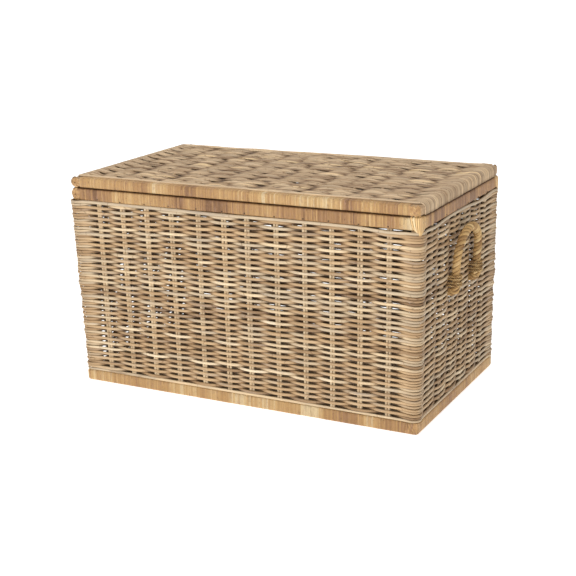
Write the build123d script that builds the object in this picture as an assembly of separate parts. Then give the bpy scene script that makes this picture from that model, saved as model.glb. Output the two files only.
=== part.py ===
from build123d import *
import math
import os

# Woven rattan storage trunk with a hinged lid and two rope handles.
# Millimetres. +X runs along the length, the front is at -Y, +Z is up, and
# the floor is z = 0 with the origin in the middle of the footprint.

# ---- Overall sizes
length = 800.0              # outside, at the rim and the lid
depth = 450.0               # outside, front to back
body_height = 434.0         # floor to the top of the rim
lid_height = 25.0           # underside of the lid to its woven top
lid_gap = 1.0               # shadow line between the rim and the lid
end_taper = 6.0             # each end wall leans in by this much at the base

# ---- Frame rails, each a rattan core bound in split peel
rail_width = 24.0
base_height = 25.0
rim_height = 26.0
lid_rail_height = 22.0
peel = 1.5                  # thickness of the peel binding
rail_rounding = 5.0         # long edges of a core
corner_rounding = 10.0      # upright outer corners of the binding
binding_joint = 0.2         # between the binding of two rails at a corner

# ---- Woven walls
wall_thickness = 15.0
wall_rounding = 12.0        # upright outer corners of the weave
weaver = 5.2                # diameter of a weaving rod
post_radius = 10.0
post_clearance = 0.3        # between a post and the rods round it
stake_radius = 2.5
stake_pair_gap = 2.0        # between the two rods of a stake
stake_clearance = 1.0       # between a stake and a rope leg's lashing
stake_spacing = 61.0
front_stakes = 12           # pairs in the front wall, and in the rear wall
end_stakes = 6              # pairs in each end wall

# ---- Floor
floor_thickness = 6.0
floor_clearance = 0.5       # round the panel's edge
batten_width = 30.0
batten_height = 16.0
batten_spacing = 185.0

# ---- Lid
lid_weave_thickness = 13.0
lid_weaver = 4.0            # diameter of a rod in the lid
lid_wrap_rounding = 9.0
rib_radius = 3.0
rib_spacing = 53.0
lid_ribs = 13

# ---- Nails in the frame
nail_radius = 1.5
nail_length = 45.0
nail_head_radius = 3.0
nail_head_height = 1.0
nail_inset = 14.0           # in from a rail's end
upright_nail_inset = 19.0   # in from a rail's end, into a corner post
upright_nail_setback = 13.5 # in from the front or rear face

# ---- Strap hinges
hinge_x = 370.0
hinge_width = 34.0
strap_width = 13.4
leaf_thickness = 1.2
knuckle_radius = 3.6
knuckle_gap = 0.3
knuckle_standoff = 0.1      # between a knuckle and the rail behind it
pin_radius = 1.5
pin_play = 0.05             # radial, in the strap's knuckle
pin_head = 1.2
leaf_drop = 24.0            # length of the body leaf below the pin
strap_reach = 22.0          # along the top of the lid's rear rail
screw_radius = 1.5
screw_length = 12.0
screw_head_radius = 3.0
screw_head_height = 1.4
screw_pitch = 22.0          # between the two screws of the body leaf
screw_drop = 13.5           # from the pin down to those screws
strap_screw_rise = 11.0     # from the pin up to the strap's rear screw
strap_screw_inset = 14.0    # from the rear face to the strap's top screw

# ---- Rope handles
rope_radius = 8.0
handle_span = 124.0         # between the two legs
handle_offset = 5.0         # of the handle's middle towards the rear
handle_pivot_z = 294.0      # where the rope bends out of its lashings
handle_lean = 5.0           # degrees, outwards, at rest
rope_clearance = 1.5        # between the rope and the wall
bend_clearance = 0.3        # between the swinging rope and its fixed end
bend_radius_inset = 0.5     # of the rounded foot's radius inside the rope's
rope_drop = 48.0            # from the pivot to where the rope enters the wall
rope_hole_clearance = 0.5   # round the rope, in the wall
knot_radius = 13.0
knot_clearance = 0.3        # between a knot and the wall
lashing_height = 11.0
lashing_thickness = 6.0
lashing_gap = 2.5           # between the two bands of a lashing
lashing_clearance = 0.2     # between a band and what it goes round
lashing_play = 1.0          # between the upper band and the pivot's round

# Half of the handle, seen square on: distance out from its middle, and height
# above the pivot.
handle_route = [(62.0, 0.0), (62.0, 34.0), (40.0, 66.0), (0.0, 79.0)]

# ---- Sizes that follow
half_length = length / 2
half_depth = depth / 2
wall_bottom = base_height
wall_top = body_height - rim_height
inner_y = half_depth - rail_width
lid_bottom = body_height + lid_gap
lid_top = lid_bottom + lid_height
post_setback = weaver + post_clearance + post_radius
half_pair = stake_radius + stake_pair_gap / 2
sides = (("left", -1), ("right", 1))
faces = (("front", -1), ("rear", 1))


# ---- Helpers
def block(low, high):
    """A box between two corners."""
    size = [b - a for a, b in zip(low, high)]
    middle = [(a + b) / 2 for a, b in zip(low, high)]
    return Pos(*middle) * Box(*size)


def rod(start, end, radius):
    """A round rod between two points."""
    line = Vector(*end) - Vector(*start)
    return Solid.make_cylinder(radius, line.length, Plane(origin=start, z_dir=line))


def mirror_x(low, high, side):
    """The two corners of a box moved to the left (side -1) or kept right."""
    xs = sorted((low[0] * side, high[0] * side))
    return (xs[0], *low[1:]), (xs[1], *high[1:])


def mirror_y(low, high, face):
    """The two corners of a box moved to the front (face -1) or kept rear."""
    ys = sorted((low[1] * face, high[1] * face))
    return (low[0], ys[0], low[2]), (high[0], ys[1], high[2])


def end_face_x(z):
    """How far out the end wall's outer face is, at a height."""
    share = (wall_top - z) / (wall_top - wall_bottom)
    return half_length - end_taper * min(max(share, 0.0), 1.0)


def wall_slab():
    """Everything between the base and the rim."""
    return block((-length, -length, wall_bottom), (length, length, wall_top))


def leaning_rod(setback, y, side, radius):
    """An upright rod that follows the lean of an end wall, with spare length."""
    rise = wall_top - wall_bottom
    spare = 0.1
    lean = end_taper * spare
    bottom = side * (half_length - end_taper - setback - lean)
    top = side * (half_length - setback + lean)
    low = wall_bottom - rise * spare
    high = wall_top + rise * spare
    return rod((bottom, y, low), (top, y, high), radius)


def solids_of(parts):
    """One node that holds several separate solids."""
    found = []
    for part in parts:
        found.extend(part.solids())
    return Compound(children=found)


def cut(part, tools):
    """A part with a list of others taken out of it."""
    for tool in tools:
        part = part - tool
    return part


# ---- Rails: long ones run the whole length, short ones fit between them
def rounded_long_rail(low, high, face, corner, edge):
    """A rail along X with its two upright outer corners and its edges rounded."""
    rail = block(low, high)
    outer_y = low[1] if face < 0 else high[1]
    uprights = [e for e in rail.edges().filter_by(Axis.Z) if abs(e.center().Y - outer_y) < 0.01]
    rail = fillet(uprights, corner)
    rims = rail.edges().group_by(Axis.Z)
    return fillet(rims[0] + rims[-1], edge)


def long_rail(half, z_low, z_high, face):
    """Core and binding of a front or rear rail."""
    low, high = mirror_y((-half, inner_y, z_low), (half, half_depth, z_high), face)
    core_low = [v + peel for v in low]
    core_high = [v - peel for v in high]
    core = rounded_long_rail(core_low, core_high, face, corner_rounding - peel, rail_rounding)
    outside = rounded_long_rail(low, high, face, corner_rounding, rail_rounding + peel)
    return core, outside - core


def short_rail(half, z_low, z_high, side):
    """Core and binding of an end rail, open at both ends."""
    low, high = mirror_x((half - rail_width, -inner_y, z_low), (half, inner_y, z_high), side)
    core_low = (low[0] + peel, low[1], low[2] + peel)
    core_high = (high[0] - peel, high[1], high[2] - peel)
    core = block(core_low, core_high)
    core = fillet(core.edges().filter_by(Axis.Y), rail_rounding)
    low = (low[0], low[1] + binding_joint, low[2])
    high = (high[0], high[1] - binding_joint, high[2])
    outside = block(low, high)
    outside = fillet(outside.edges().filter_by(Axis.Y), rail_rounding + peel)
    return core, outside - core


def frame_ring(name, half, z_low, z_high):
    """Four rails and the binding of a rectangular frame."""
    cores = {}
    bindings = {}
    for word, face in faces:
        cores[f"{name}_rail_{word}"], bindings[word] = long_rail(half, z_low, z_high, face)
    for word, side in sides:
        cores[f"{name}_rail_{word}"], bindings[word] = short_rail(half, z_low, z_high, side)
    return cores, bindings


# ---- Nails
def nail(point, direction):
    """A nail whose head's top is at point, driven along direction."""
    way = Vector(*direction)
    start = Vector(*point)
    neck = start + way * nail_head_height
    head = rod(tuple(start), tuple(neck), nail_head_radius)
    shank = rod(tuple(neck), tuple(start + way * nail_length), nail_radius)
    return head + shank


def level_nails(half, z):
    """Nails through the long rails into the ends of the short ones."""
    y = half_depth - peel
    x = half - nail_inset
    return [
        nail((side * x, face * y, z), (0, -face, 0))
        for _, side in sides
        for _, face in faces
    ]


def upright_nails():
    """Nails through the rim and the base into the ends of the corner posts."""
    y = half_depth - upright_nail_setback
    nails = []
    for _, side in sides:
        for _, face in faces:
            top_x = side * (half_length - upright_nail_inset)
            base_x = side * (half_length - end_taper - upright_nail_inset)
            nails.append(nail((top_x, face * y, body_height - peel), (0, 0, -1)))
            nails.append(nail((base_x, face * y, peel), (0, 0, 1)))
    return nails


# ---- Walls
def post_tool(side, face):
    """A corner post with spare length."""
    return leaning_rod(post_setback, face * (half_depth - post_setback), side, post_radius)


def pair_middles(count):
    """Where evenly spaced stake pairs stand."""
    return [(i - (count - 1) / 2) * stake_spacing for i in range(count)]


def clear_of_legs(middle):
    """The place of an end wall's stake pair, moved aside from a rope leg's lashing."""
    lashing_reach = rope_radius + lashing_clearance + lashing_thickness
    room = lashing_reach + stake_clearance + half_pair + stake_radius
    for _, face in faces:
        away = middle - leg_y(face)
        if abs(away) < room:
            middle = leg_y(face) + math.copysign(room, away)
    return middle


def pair_rods(middles):
    """Where the two rods of each stake pair stand."""
    return [m + s * half_pair for m in middles for s in (-1, 1)]


def long_stakes(face):
    """The stakes of the front or rear wall."""
    y = face * (half_depth - wall_thickness / 2)
    return [
        rod((x, y, wall_bottom), (x, y, wall_top), stake_radius)
        for x in pair_rods(pair_middles(front_stakes))
    ]


def end_stake_tools(side):
    """The stakes of an end wall, with spare length."""
    middles = [clear_of_legs(middle) for middle in pair_middles(end_stakes)]
    return [
        leaning_rod(wall_thickness / 2, y, side, stake_radius)
        for y in pair_rods(middles)
    ]


def long_wall(face):
    """The front or rear weave: it narrows downwards, with rounded corners."""
    low_x = half_length - end_taper
    outline = Polyline(
        (-low_x, wall_bottom), (low_x, wall_bottom),
        (half_length, wall_top), (-half_length, wall_top), close=True,
    )
    far_y = face * half_depth if face > 0 else face * half_depth + wall_thickness
    plane = Plane(origin=(0, far_y, 0), x_dir=(1, 0, 0), z_dir=(0, -1, 0))
    wall = extrude(plane * make_face(outline), amount=wall_thickness)
    corners = [
        e for e in wall.edges()
        if abs(e.center().Y - face * half_depth) < 0.01 and abs(e.center().X) > low_x
    ]
    wall = fillet(corners, wall_rounding)
    posts = [post_tool(side, face) for _, side in sides]
    return cut(wall, posts + long_stakes(face))


def end_wall(side, tools):
    """The left or right weave, between the front and rear ones."""
    low_x = half_length - end_taper
    outline = Polyline(
        (side * low_x, wall_bottom), (side * half_length, wall_top),
        (side * (half_length - wall_thickness), wall_top),
        (side * (low_x - wall_thickness), wall_bottom), close=True,
    )
    half = half_depth - wall_thickness
    plane = Plane(origin=(0, half, 0), x_dir=(1, 0, 0), z_dir=(0, -1, 0))
    wall = extrude(plane * make_face(outline), amount=2 * half)
    posts = [post_tool(side, face) for _, face in faces]
    return cut(wall, posts + end_stake_tools(side) + tools)


# ---- Floor
def floor_panel():
    """The panel inside the base frame."""
    half_x = half_length - end_taper - rail_width - floor_clearance
    half_y = inner_y - floor_clearance
    top = batten_height + floor_thickness
    return block((-half_x, -half_y, batten_height), (half_x, half_y, top))


def floor_batten(x):
    """A bar across the base frame, under the panel."""
    half = batten_width / 2
    return block((x - half, -inner_y, 0), (x + half, inner_y, batten_height))


# ---- Rope handles
def rope_x():
    """How far out the rope's centre is at the pivot."""
    return end_face_x(handle_pivot_z) + rope_radius + rope_clearance


def leg_y(face):
    return handle_offset + face * handle_span / 2


def bail_points():
    """The bail's corners, upright, from the front leg over to the rear one."""
    half = [(y * handle_span / 2 / handle_route[0][0], z) for y, z in handle_route]
    front = [(handle_offset - y, handle_pivot_z + z) for y, z in half]
    rear = [(handle_offset + y, handle_pivot_z + z) for y, z in reversed(half[:-1])]
    return front + rear


def bend_radius(before, corner, after):
    """As large as the two runs allow: 0.45 of the shorter, over tan(half turn)."""
    a = Vector(*corner) - Vector(*before)
    b = Vector(*after) - Vector(*corner)
    half_turn = math.radians(a.get_angle(b)) / 2
    return 0.45 * min(a.length, b.length) / math.tan(half_turn)


def rope_bail(side):
    """The swinging part of the handle, leaning a little outwards."""
    x = side * rope_x()
    points = [(x, y, z) for y, z in bail_points()]
    radii = [bend_radius(*points[i - 1:i + 2]) for i in range(1, len(points) - 1)]
    path = FilletPolyline(*points, radius=radii)
    section = Plane(origin=points[0], z_dir=(0, 0, 1)) * Circle(rope_radius)
    bail = sweep(section, path=path)
    expected = math.pi * rope_radius ** 2 * path.length
    print("rope radii", [round(r, 1) for r in radii], "length", round(path.length, 1))
    print("rope volume over section times length", round(bail.volume / expected, 3))
    foot_radius = rope_radius - bend_radius_inset
    for _, face in faces:
        y = leg_y(face)
        ends = [(x, y + s * foot_radius, handle_pivot_z) for s in (-1, 1)]
        bail = bail + rod(*ends, foot_radius)
    pivot = Axis((x, 0, handle_pivot_z), (0, side, 0))
    return bail.rotate(pivot, handle_lean)


def rope_end(side, face):
    """The fixed end of a leg: down the wall, in through it, and a knot."""
    x = -rope_x()
    y = leg_y(face)
    turn = rope_radius + rope_clearance
    top = handle_pivot_z - rope_radius - bend_clearance
    enter = handle_pivot_z - rope_drop
    knot_x = wall_thickness + knot_clearance + knot_radius - end_face_x(enter)
    path = FilletPolyline((x, y, top), (x, y, enter), (knot_x, y, enter), radius=turn)
    section = Plane(origin=(x, y, top), z_dir=(0, 0, -1)) * Circle(rope_radius)
    end = sweep(section, path=path) + Pos(knot_x, y, enter) * Sphere(knot_radius)
    return mirror(end, about=Plane.YZ) if side > 0 else end


def lashing_bands(side, face):
    """Two bands round a leg, each through the wall and round its inside."""
    upper = handle_pivot_z - rope_radius - lashing_play - lashing_height / 2
    lower = upper - lashing_height - lashing_gap
    reach = rope_radius + lashing_clearance
    x = rope_x()
    y = leg_y(face)
    bands = []
    for z in (upper, lower):
        inside = end_face_x(z - lashing_height / 2) - wall_thickness - lashing_clearance
        loops = []
        low_z = z - lashing_height / 2
        high_z = z + lashing_height / 2
        for grow in (lashing_thickness, 0.0):
            wide = reach + grow
            low = (inside - grow, y - wide, low_z)
            run = block(*mirror_x(low, (x, y + wide, high_z), side))
            nose = rod((side * x, y, low_z), (side * x, y, high_z), wide)
            loops.append(run + nose)
        bands.append(loops[0] - loops[1])
    return bands


def rope_hole(side, face):
    """The hole through the wall for a rope end."""
    enter = handle_pivot_z - rope_drop
    y = leg_y(face)
    radius = rope_radius + rope_hole_clearance
    return rod((side * (half_length - 3 * wall_thickness), y, enter),
               (side * (half_length + wall_thickness), y, enter), radius)


# ---- Lid
def lid_end_core(side):
    """The core of the lid's left or right rail."""
    low = (half_length - rail_width, -inner_y, lid_bottom + lid_weaver)
    high = (half_length - lid_weaver, inner_y, lid_top - lid_weaver)
    core = block(*mirror_x(low, high, side))
    outer = core.edges().filter_by(Axis.Y).filter_by(
        lambda e: abs(abs(e.center().X) - high[0]) < 0.01)
    return fillet(outer, rail_rounding)


def lid_end_wrap(side):
    """The ends of the lid's rods, bent down and under its end rail."""
    low = (half_length - rail_width, -inner_y, lid_bottom)
    high = (half_length, inner_y, lid_top)
    wrap = block(*mirror_x(low, high, side))
    outer = wrap.edges().filter_by(Axis.Y).filter_by(
        lambda e: abs(abs(e.center().X) - half_length) < 0.01)
    return fillet(outer, lid_wrap_rounding) - lid_end_core(side)


def lid_rib_rods():
    """The cross ribs that the lid's rods pass over and under."""
    z = lid_top - lid_weave_thickness / 2
    middles = [(i - (lid_ribs - 1) / 2) * rib_spacing for i in range(lid_ribs)]
    return [rod((x, -inner_y, z), (x, inner_y, z), rib_radius) for x in middles]


def lid_panel(ribs):
    """The woven top between the rails."""
    half = half_length - rail_width
    low = (-half, -inner_y, lid_top - lid_weave_thickness)
    return cut(block(low, (half, inner_y, lid_top)), ribs)


# ---- Hinges
pin_y = half_depth + knuckle_radius + knuckle_standoff
pin_z = body_height + lid_gap / 2
strap_top = lid_bottom + lid_rail_height


def along_x(x, half, radius):
    """A round bar along the hinge line, about its middle."""
    return rod((x - half, pin_y, pin_z), (x + half, pin_y, pin_z), radius)


def hinge_body_leaf(x):
    """The leaf on the rim, with a knuckle at each side."""
    half = hinge_width / 2
    low = (x - half, half_depth, pin_z - leaf_drop)
    leaf = block(low, (x + half, half_depth + leaf_thickness, pin_z))
    leaf = leaf + along_x(x, half, knuckle_radius)
    notch = along_x(x, strap_width / 2 + knuckle_gap, knuckle_radius + knuckle_gap)
    middle = block(
        (x - strap_width / 2 - knuckle_gap, half_depth - 1, pin_z - knuckle_radius),
        (x + strap_width / 2 + knuckle_gap, pin_y + knuckle_radius + 1, pin_z + knuckle_radius + 1),
    )
    return leaf - notch - middle - along_x(x, half, pin_radius)


def strap_profile():
    """The strap seen from the end: up the lid's back and over its rear rail."""
    bend = rail_rounding + peel
    back = half_depth
    y_in = back - strap_reach
    t = leaf_thickness
    with BuildSketch(Plane.YZ) as profile:
        with BuildLine():
            Line((back, pin_z), (back, strap_top - bend))
            RadiusArc((back, strap_top - bend), (back - bend, strap_top), -bend)
            Line((back - bend, strap_top), (y_in, strap_top))
            Line((y_in, strap_top), (y_in, strap_top + t))
            Line((y_in, strap_top + t), (back - bend, strap_top + t))
            RadiusArc((back - bend, strap_top + t), (back + t, strap_top - bend), bend + t)
            Line((back + t, strap_top - bend), (back + t, pin_z))
            Line((back + t, pin_z), (back, pin_z))
        make_face()
    return profile.sketch


def hinge_lid_strap(x):
    """The strap, with the middle knuckle."""
    half = strap_width / 2
    strap = Pos(x - half, 0, 0) * extrude(strap_profile(), amount=strap_width)
    strap = strap + along_x(x, half, knuckle_radius)
    return strap - along_x(x, half, pin_radius + pin_play)


def hinge_pin(x):
    """A headed pin, tight in the body leaf and free in the strap."""
    half = hinge_width / 2
    pin = along_x(x, half, pin_radius)
    for s in (-1, 1):
        face = x + s * half
        pin = pin + rod((face, pin_y, pin_z), (face + s * pin_head, pin_y, pin_z), knuckle_radius)
    return pin


def screw(point, direction):
    """A round-headed screw whose head sits on point, driven along direction."""
    way = Vector(*direction)
    seat = Vector(*point)
    top = seat - way * screw_head_height
    head = rod(tuple(top), tuple(seat), screw_head_radius)
    shank = rod(tuple(seat), tuple(seat + way * screw_length), screw_radius)
    return head + shank


def body_screws(x):
    y = half_depth + leaf_thickness
    z = pin_z - screw_drop
    return [screw((x + s * screw_pitch / 2, y, z), (0, -1, 0)) for s in (-1, 1)]


def lid_screws(x):
    t = leaf_thickness
    rear = screw((x, half_depth + t, pin_z + strap_screw_rise), (0, -1, 0))
    top = screw((x, half_depth - strap_screw_inset, strap_top + t), (0, 0, -1))
    return [rear, top]


# ---- Assembly
def trunk_frame(nodes):
    """Base, posts, rim and their nails and hinge leaves."""
    base_half = half_length - end_taper
    base_cores, base_bindings = frame_ring("base", base_half, 0.0, base_height)
    rim_cores, rim_bindings = frame_ring("rim", half_length, wall_top, body_height)
    nails = level_nails(base_half, base_height / 2)
    nails += level_nails(half_length, body_height - rim_height / 2)
    nails += upright_nails()
    screws = [s for _, side in sides for s in body_screws(side * hinge_x)]
    for name, core in {**base_cores, **rim_cores}.items():
        nodes[name] = cut(core, nails + screws)
    nodes["base_binding"] = solids_of([cut(b, nails) for b in base_bindings.values()])
    nodes["rim_binding"] = solids_of([cut(b, nails + screws) for b in rim_bindings.values()])
    for end, side in sides:
        for word, face in faces:
            post = post_tool(side, face) & wall_slab()
            nodes[f"corner_post_{word}_{end}"] = cut(post, nails)
    nodes["frame_nails"] = solids_of(nails)
    nodes["hinge_body_screws"] = solids_of(screws)
    for end, side in sides:
        nodes[f"hinge_body_leaf_{end}"] = cut(hinge_body_leaf(side * hinge_x), screws)
        nodes[f"hinge_pin_{end}"] = hinge_pin(side * hinge_x)


def trunk_walls(nodes):
    """The weave, its stakes, and the fixed parts of the rope handles."""
    for word, face in faces:
        nodes[f"{word}_wall_weave"] = long_wall(face)
        nodes[f"{word}_stakes"] = solids_of(long_stakes(face))
    for end, side in sides:
        tools = []
        for word, face in faces:
            bands = lashing_bands(side, face)
            tools += bands + [rope_hole(side, face)]
            nodes[f"rope_lashing_{end}_{word}"] = solids_of(bands)
            nodes[f"rope_end_{end}_{word}"] = rope_end(side, face)
        nodes[f"{end}_wall_weave"] = end_wall(side, tools)
        nodes[f"{end}_stakes"] = solids_of([s & wall_slab() for s in end_stake_tools(side)])
        nodes[f"rope_handle_{end}"] = rope_bail(side)


def trunk_floor(nodes):
    nodes["floor_panel"] = floor_panel()
    nodes["floor_batten_left"] = floor_batten(-batten_spacing)
    nodes["floor_batten_middle"] = floor_batten(0.0)
    nodes["floor_batten_right"] = floor_batten(batten_spacing)


def lid(nodes):
    nails = level_nails(half_length, lid_bottom + lid_rail_height / 2)
    screws = [s for _, side in sides for s in lid_screws(side * hinge_x)]
    bindings = []
    for word, face in faces:
        core, binding = long_rail(half_length, lid_bottom, strap_top, face)
        nodes[f"lid_rail_{word}"] = cut(core, nails + screws)
        bindings.append(cut(binding, nails + screws))
    nodes["lid_binding"] = solids_of(bindings)
    for end, side in sides:
        nodes[f"lid_rail_{end}"] = cut(lid_end_core(side), nails)
        nodes[f"lid_end_wrap_{end}"] = lid_end_wrap(side)
        nodes[f"hinge_lid_strap_{end}"] = cut(hinge_lid_strap(side * hinge_x), screws)
    ribs = lid_rib_rods()
    nodes["lid_ribs"] = solids_of(ribs)
    nodes["lid_weave"] = lid_panel(ribs)
    nodes["lid_nails"] = solids_of(nails)
    nodes["hinge_lid_screws"] = solids_of(screws)


def main():
    os.makedirs("parts", exist_ok=True)
    nodes = {}
    trunk_frame(nodes)
    trunk_walls(nodes)
    trunk_floor(nodes)
    lid(nodes)
    for name, shape in nodes.items():
        export_step(shape, f"parts/{name}.step")


main()
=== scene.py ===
import math

import bpy
import numpy as np
from mathutils import Matrix, Vector


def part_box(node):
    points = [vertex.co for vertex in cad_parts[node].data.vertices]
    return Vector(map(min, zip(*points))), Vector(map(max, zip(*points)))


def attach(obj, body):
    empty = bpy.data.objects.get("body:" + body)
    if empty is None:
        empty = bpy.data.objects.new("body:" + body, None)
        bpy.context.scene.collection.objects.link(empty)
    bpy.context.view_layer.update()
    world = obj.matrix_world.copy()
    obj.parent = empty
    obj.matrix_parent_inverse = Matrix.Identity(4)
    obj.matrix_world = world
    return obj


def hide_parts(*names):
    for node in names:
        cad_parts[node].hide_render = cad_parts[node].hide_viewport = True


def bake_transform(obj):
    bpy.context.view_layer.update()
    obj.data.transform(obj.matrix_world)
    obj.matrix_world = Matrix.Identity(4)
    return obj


# The looks of a woven rattan trunk with a hinged lid and two rope handles.
# Metres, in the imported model's frame: +X along the length, front at -Y, +Z up.

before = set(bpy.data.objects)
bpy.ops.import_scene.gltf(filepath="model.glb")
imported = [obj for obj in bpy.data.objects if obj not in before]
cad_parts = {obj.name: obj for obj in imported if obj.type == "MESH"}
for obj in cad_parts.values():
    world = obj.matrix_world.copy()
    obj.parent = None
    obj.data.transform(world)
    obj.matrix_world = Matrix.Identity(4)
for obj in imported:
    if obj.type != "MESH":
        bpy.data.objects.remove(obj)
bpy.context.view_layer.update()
rng = np.random.default_rng(20)
MM = 0.001

# ---- Places read from the frame
rim_low, rim_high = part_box("rim_binding")
base_low, base_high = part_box("base_binding")
lid_low, lid_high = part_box("lid_binding")
lid_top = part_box("lid_weave")[1].z
HALF_X = rim_high.x                      # half of the length, at the rim
HALF_Y = rim_high.y                      # half of the depth
BASE_HALF_X = base_high.x
WALL_LOW = base_high.z
WALL_HIGH = rim_low.z
TAPER = HALF_X - BASE_HALF_X             # lean of each end wall, at its foot
WALL = HALF_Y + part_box("front_wall_weave")[1].y      # thickness of a wall

# ---- The weave
RAIL = 24 * MM                           # width of a rail, seen from above
ROD = 3.3 * MM                           # half the height of a weaving rod, pressed flat
ROD_DEPTH = 2.6 * MM                     # half its thickness through the wall
ROW = 5.8 * MM                           # from one row to the next
SWING = 4.5 * MM                         # of a rod to each side of the stakes
CORNER_SWELL = 3.2 * MM                  # how far the weave stands out round a post
LEFT_SWELL = 6.0 * MM                    # more of that at the top of the left corners
POST = 15.5 * MM                         # a corner post's centre, in from each face
STAKE = 2.8 * MM                         # radius of a stake rod
PAIR = 3.0 * MM                          # from a pair's middle to each of its rods
LONG_STAKES = 12
END_STAKES = 6
STAKE_STEP = 61 * MM
STAKE_SPREAD = 2.2 * MM                  # how unevenly the pairs stand
POST_REACH = 11 * MM                     # a rod stays outside a post for this far each way
STAKE_REACH = 5 * MM                     # and on one side of a pair for this far
POST_FADE = 15 * MM                      # over which the swell round a post dies away
SAMPLE = 5.2 * MM                        # between a rod's points along a wall
CORNER_SAMPLES = 6

# ---- The lid
BUNDLES = 25
BUNDLE_RODS = 6
LID_ROD = 1.75 * MM                      # radius of a rod
LID_GAP = 2.95 * MM                      # between the rods of a bundle
LID_SPREAD = 0.24                        # how far a bundle opens over a rib
RIB_STEP = 53 * MM
LID_SWING = 3.7 * MM                     # of a bundle above and below the ribs
EDGE_ROD = 1.9 * MM                      # radius of the rods along the lid's long rails


# ---- Materials
def shader(name, roughness):
    """A new material, its node tree and its shader node."""
    material = bpy.data.materials.new(name)
    material.use_nodes = True
    tree = material.node_tree
    bsdf = tree.nodes["Principled BSDF"]
    bsdf.inputs["Roughness"].default_value = roughness
    return material, tree, bsdf


def node(tree, kind, **values):
    """A shader node with some of its sockets or settings set."""
    made = tree.nodes.new("ShaderNode" + kind)
    for key, value in values.items():
        if key in made.inputs:
            made.inputs[key].default_value = value
        else:
            setattr(made, key, value)
    return made


def attribute(tree, name):
    return node(tree, "Attribute", attribute_name=name)


def ramp(tree, stops, source):
    """A colour ramp fed from a socket."""
    made = node(tree, "ValToRGB")
    line = made.color_ramp
    while len(line.elements) < len(stops):
        line.elements.new(0.5)
    for element, (place, colour) in zip(line.elements, stops):
        element.position = place
        element.color = (*colour, 1)
    tree.links.new(source, made.inputs["Fac"])
    return made.outputs["Color"]


def noise(tree, vector, scale, detail=3.0, stretch=None):
    """Noise on a vector, which may be stretched first."""
    if stretch:
        mapping = node(tree, "Mapping")
        mapping.inputs["Scale"].default_value = stretch
        tree.links.new(vector, mapping.inputs["Vector"])
        vector = mapping.outputs["Vector"]
    made = node(tree, "TexNoise", Scale=scale, Detail=detail)
    tree.links.new(vector, made.inputs["Vector"])
    return made.outputs["Fac"]


def mix(tree, kind, factor, a, b):
    """Two colours mixed; factor, a and b are sockets or values."""
    made = node(tree, "Mix", data_type="RGBA", blend_type=kind)
    for socket, value in ((made.inputs[0], factor), (made.inputs[6], a), (made.inputs[7], b)):
        if isinstance(value, bpy.types.NodeSocket):
            tree.links.new(value, socket)
        else:
            socket.default_value = value
    return made.outputs[2]


def spread(tree, value, low, high):
    """A value from 0..1 carried over to low..high."""
    made = node(tree, "MapRange")
    made.inputs["To Min"].default_value = low
    made.inputs["To Max"].default_value = high
    tree.links.new(value, made.inputs["Value"])
    return made.outputs["Result"]


def bump(tree, bsdf, height, distance, strength=0.6):
    made = node(tree, "Bump", Strength=strength, Distance=distance)
    tree.links.new(height, made.inputs["Height"])
    tree.links.new(made.outputs["Normal"], bsdf.inputs["Normal"])


def cane(name, stops, stain, streak, roughness=0.55):
    """Rattan: a colour for each rod, streaks along it, blotches, dark joints and painted shade."""
    material, tree, bsdf = shader(name, roughness)
    grain = attribute(tree, "grain").outputs["Vector"]
    tint = attribute(tree, "tint").outputs["Fac"]
    shade = attribute(tree, "shade").outputs["Fac"]
    colour = ramp(tree, stops, tint)
    fine = noise(tree, grain, 1.0, 4.0, stretch=(60.0, 5.0, 5.0))
    light = ramp(tree, [(0.25, (1 - streak,) * 3), (0.75, (1 + streak * 0.3,) * 3)], fine)
    colour = mix(tree, "MULTIPLY", 1.0, colour, light)
    blotch = noise(tree, grain, 1.0, 2.0, stretch=(14.0, 0.6, 0.6))
    spots = ramp(tree, [(0.52, (0, 0, 0)), (0.72, (1, 1, 1))], blotch)
    colour = mix(tree, "MIX", spread(tree, spots, 0.0, 0.55), colour, (*stain, 1))
    joints = noise(tree, grain, 1.0, 0.0, stretch=(7.0, 0.02, 0.02))
    ring = ramp(tree, [(0.495, (0, 0, 0)), (0.5, (1, 1, 1)), (0.505, (0, 0, 0))], joints)
    colour = mix(tree, "MULTIPLY", spread(tree, ring, 0.0, 0.6), colour, (0.35, 0.24, 0.16, 1))
    # Painted shade: the shade attribute darkens a rod in creases, in the lid's dips and on the weave's
    # inner side.
    colour = mix(tree, "MULTIPLY", 1.0, colour, ramp(
        tree, [(0.0, (0.12, 0.075, 0.045)), (0.5, (0.66, 0.60, 0.54)), (1.0, (1, 1, 1))], shade))
    tree.links.new(colour, bsdf.inputs["Base Color"])
    tree.links.new(spread(tree, fine, roughness - 0.12, roughness + 0.2), bsdf.inputs["Roughness"])
    bump(tree, bsdf, fine, 0.4 * MM)
    return material


def plain(name, dark, light, scale, stretch, roughness, metal=0.0, depth=0.2 * MM):
    """A material for a carried-over CAD piece: two colours mixed by stretched noise."""
    material, tree, bsdf = shader(name, roughness)
    bsdf.inputs["Metallic"].default_value = metal
    place = node(tree, "TexCoord").outputs["Object"]
    fine = noise(tree, place, scale, 5.0, stretch)
    broad = noise(tree, place, 9.0, 2.0)
    colour = ramp(tree, [(0.3, dark), (0.7, light)], fine)
    colour = mix(tree, "MULTIPLY", 0.6, colour,
                 ramp(tree, [(0.3, (0.6, 0.6, 0.6)), (0.7, (1, 1, 1))], broad))
    tree.links.new(colour, bsdf.inputs["Base Color"])
    tree.links.new(spread(tree, fine, roughness - 0.1, roughness + 0.1), bsdf.inputs["Roughness"])
    bump(tree, bsdf, fine, depth)
    return material


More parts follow.
